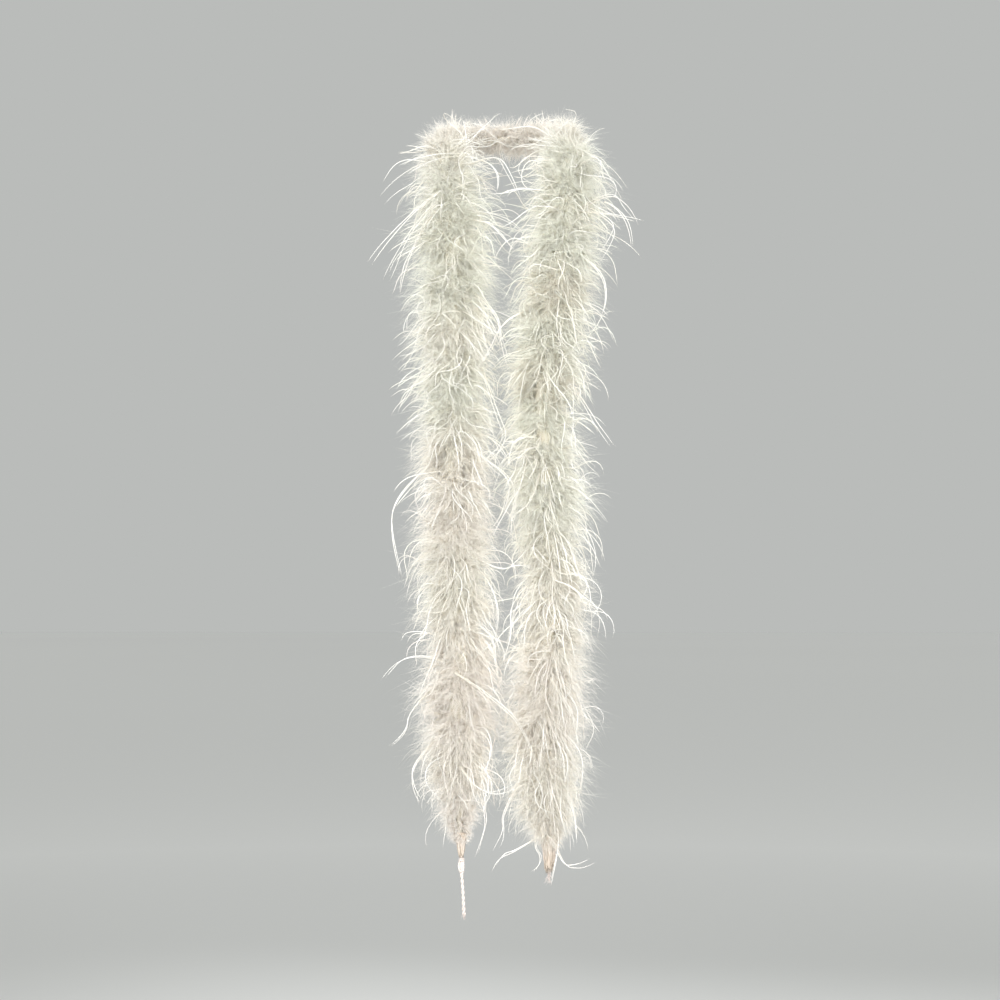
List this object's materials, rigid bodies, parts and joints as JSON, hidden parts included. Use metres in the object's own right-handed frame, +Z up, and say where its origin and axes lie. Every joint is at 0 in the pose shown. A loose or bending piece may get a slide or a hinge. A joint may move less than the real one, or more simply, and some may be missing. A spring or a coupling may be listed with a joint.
{
  "type": "feather boa",
  "caption": "Long fluffy boa of marabou down and ostrich flues on a twisted cord, hung round a neck with both ends down in front.",
  "frame": {"origin": "nape of the wearer's neck, where the inner side of the loop rests", "axes": "+Z up along the hanging ends, -Y to the wearer's front, where a viewer stands, and +X to that viewer's right; left and right in names are the viewer's"},
  "size_m": [0.3217, 0.2924, 1.0219],
  "materials": {
    "marabou_down": "soft ivory down",
    "ostrich_flue": "matt off-white feather",
    "cotton_cord": "twisted cotton, matt",
    "binding_thread": "fine cotton thread, matt"
  },
  "bodies": {
    "neck_loop": {"binding_thread_neck": "binding_thread", "core_cord_neck": "cotton_cord", "marabou_chest_left_1": "marabou_down", "marabou_chest_left_2": "marabou_down", "marabou_chest_left_3": "marabou_down", "marabou_chest_left_4": "marabou_down", "marabou_chest_right_1": "marabou_down", "marabou_chest_right_2": "marabou_down", "marabou_chest_right_3": "marabou_down", "marabou_chest_right_4": "marabou_down", "marabou_nape": "marabou_down", "marabou_neck_left": "marabou_down", "marabou_neck_right": "marabou_down", "ostrich_flues_chest_left": "ostrich_flue", "ostrich_flues_chest_right": "ostrich_flue", "ostrich_flues_nape_left": "ostrich_flue", "ostrich_flues_nape_right": "ostrich_flue", "ostrich_flues_shoulder_left": "ostrich_flue", "ostrich_flues_shoulder_right": "ostrich_flue"},
    "left_upper": {"binding_thread_left_upper": "binding_thread", "core_cord_left_upper": "cotton_cord", "marabou_left_upper_1": "marabou_down", "marabou_left_upper_2": "marabou_down", "marabou_left_upper_3": "marabou_down", "marabou_left_upper_4": "marabou_down", "ostrich_flues_left_upper_1": "ostrich_flue", "ostrich_flues_left_upper_2": "ostrich_flue"},
    "left_lower": {"binding_thread_left_lower": "binding_thread", "cord_tail_left": "cotton_cord", "core_cord_left_lower": "cotton_cord", "end_knot_left": "cotton_cord", "end_wrap_left": "binding_thread", "marabou_left_lower_1": "marabou_down", "marabou_left_lower_2": "marabou_down", "marabou_left_lower_3": "marabou_down", "marabou_left_lower_4": "marabou_down", "ostrich_flues_left_lower_1": "ostrich_flue", "ostrich_flues_left_lower_2": "ostrich_flue"},
    "right_upper": {"binding_thread_right_upper": "binding_thread", "core_cord_right_upper": "cotton_cord", "marabou_right_upper_1": "marabou_down", "marabou_right_upper_2": "marabou_down", "marabou_right_upper_3": "marabou_down", "marabou_right_upper_4": "marabou_down", "ostrich_flues_right_upper_1": "ostrich_flue", "ostrich_flues_right_upper_2": "ostrich_flue"},
    "right_lower": {"binding_thread_right_lower": "binding_thread", "cord_tail_right": "cotton_cord", "core_cord_right_lower": "cotton_cord", "end_stub_right": "binding_thread", "marabou_right_lower_1": "marabou_down", "marabou_right_lower_2": "marabou_down", "marabou_right_lower_3": "marabou_down", "marabou_right_lower_4": "marabou_down", "ostrich_flues_right_lower_1": "ostrich_flue", "ostrich_flues_right_lower_2": "ostrich_flue"}
  },
  "joints": [
    {"name": "left_swing", "type": "hinge", "parent": "neck_loop", "child": "left_upper", "pos_m": [-0.064, -0.159, -0.262], "axis": [0, 1, 0], "range_deg": [-1, 35]},
    {"name": "left_bend", "type": "hinge", "parent": "left_upper", "child": "left_lower", "pos_m": [-0.0605, -0.157, -0.589], "axis": [-1, 0, 0], "range_deg": [-35, 60]},
    {"name": "right_swing", "type": "hinge", "parent": "neck_loop", "child": "right_upper", "pos_m": [0.0545, -0.159, -0.259], "axis": [0, -1, 0], "range_deg": [-1, 35]},
    {"name": "right_bend", "type": "hinge", "parent": "right_upper", "child": "right_lower", "pos_m": [0.0565, -0.157, -0.584], "axis": [-1, 0, 0], "range_deg": [-35, 60]}
  ]
}
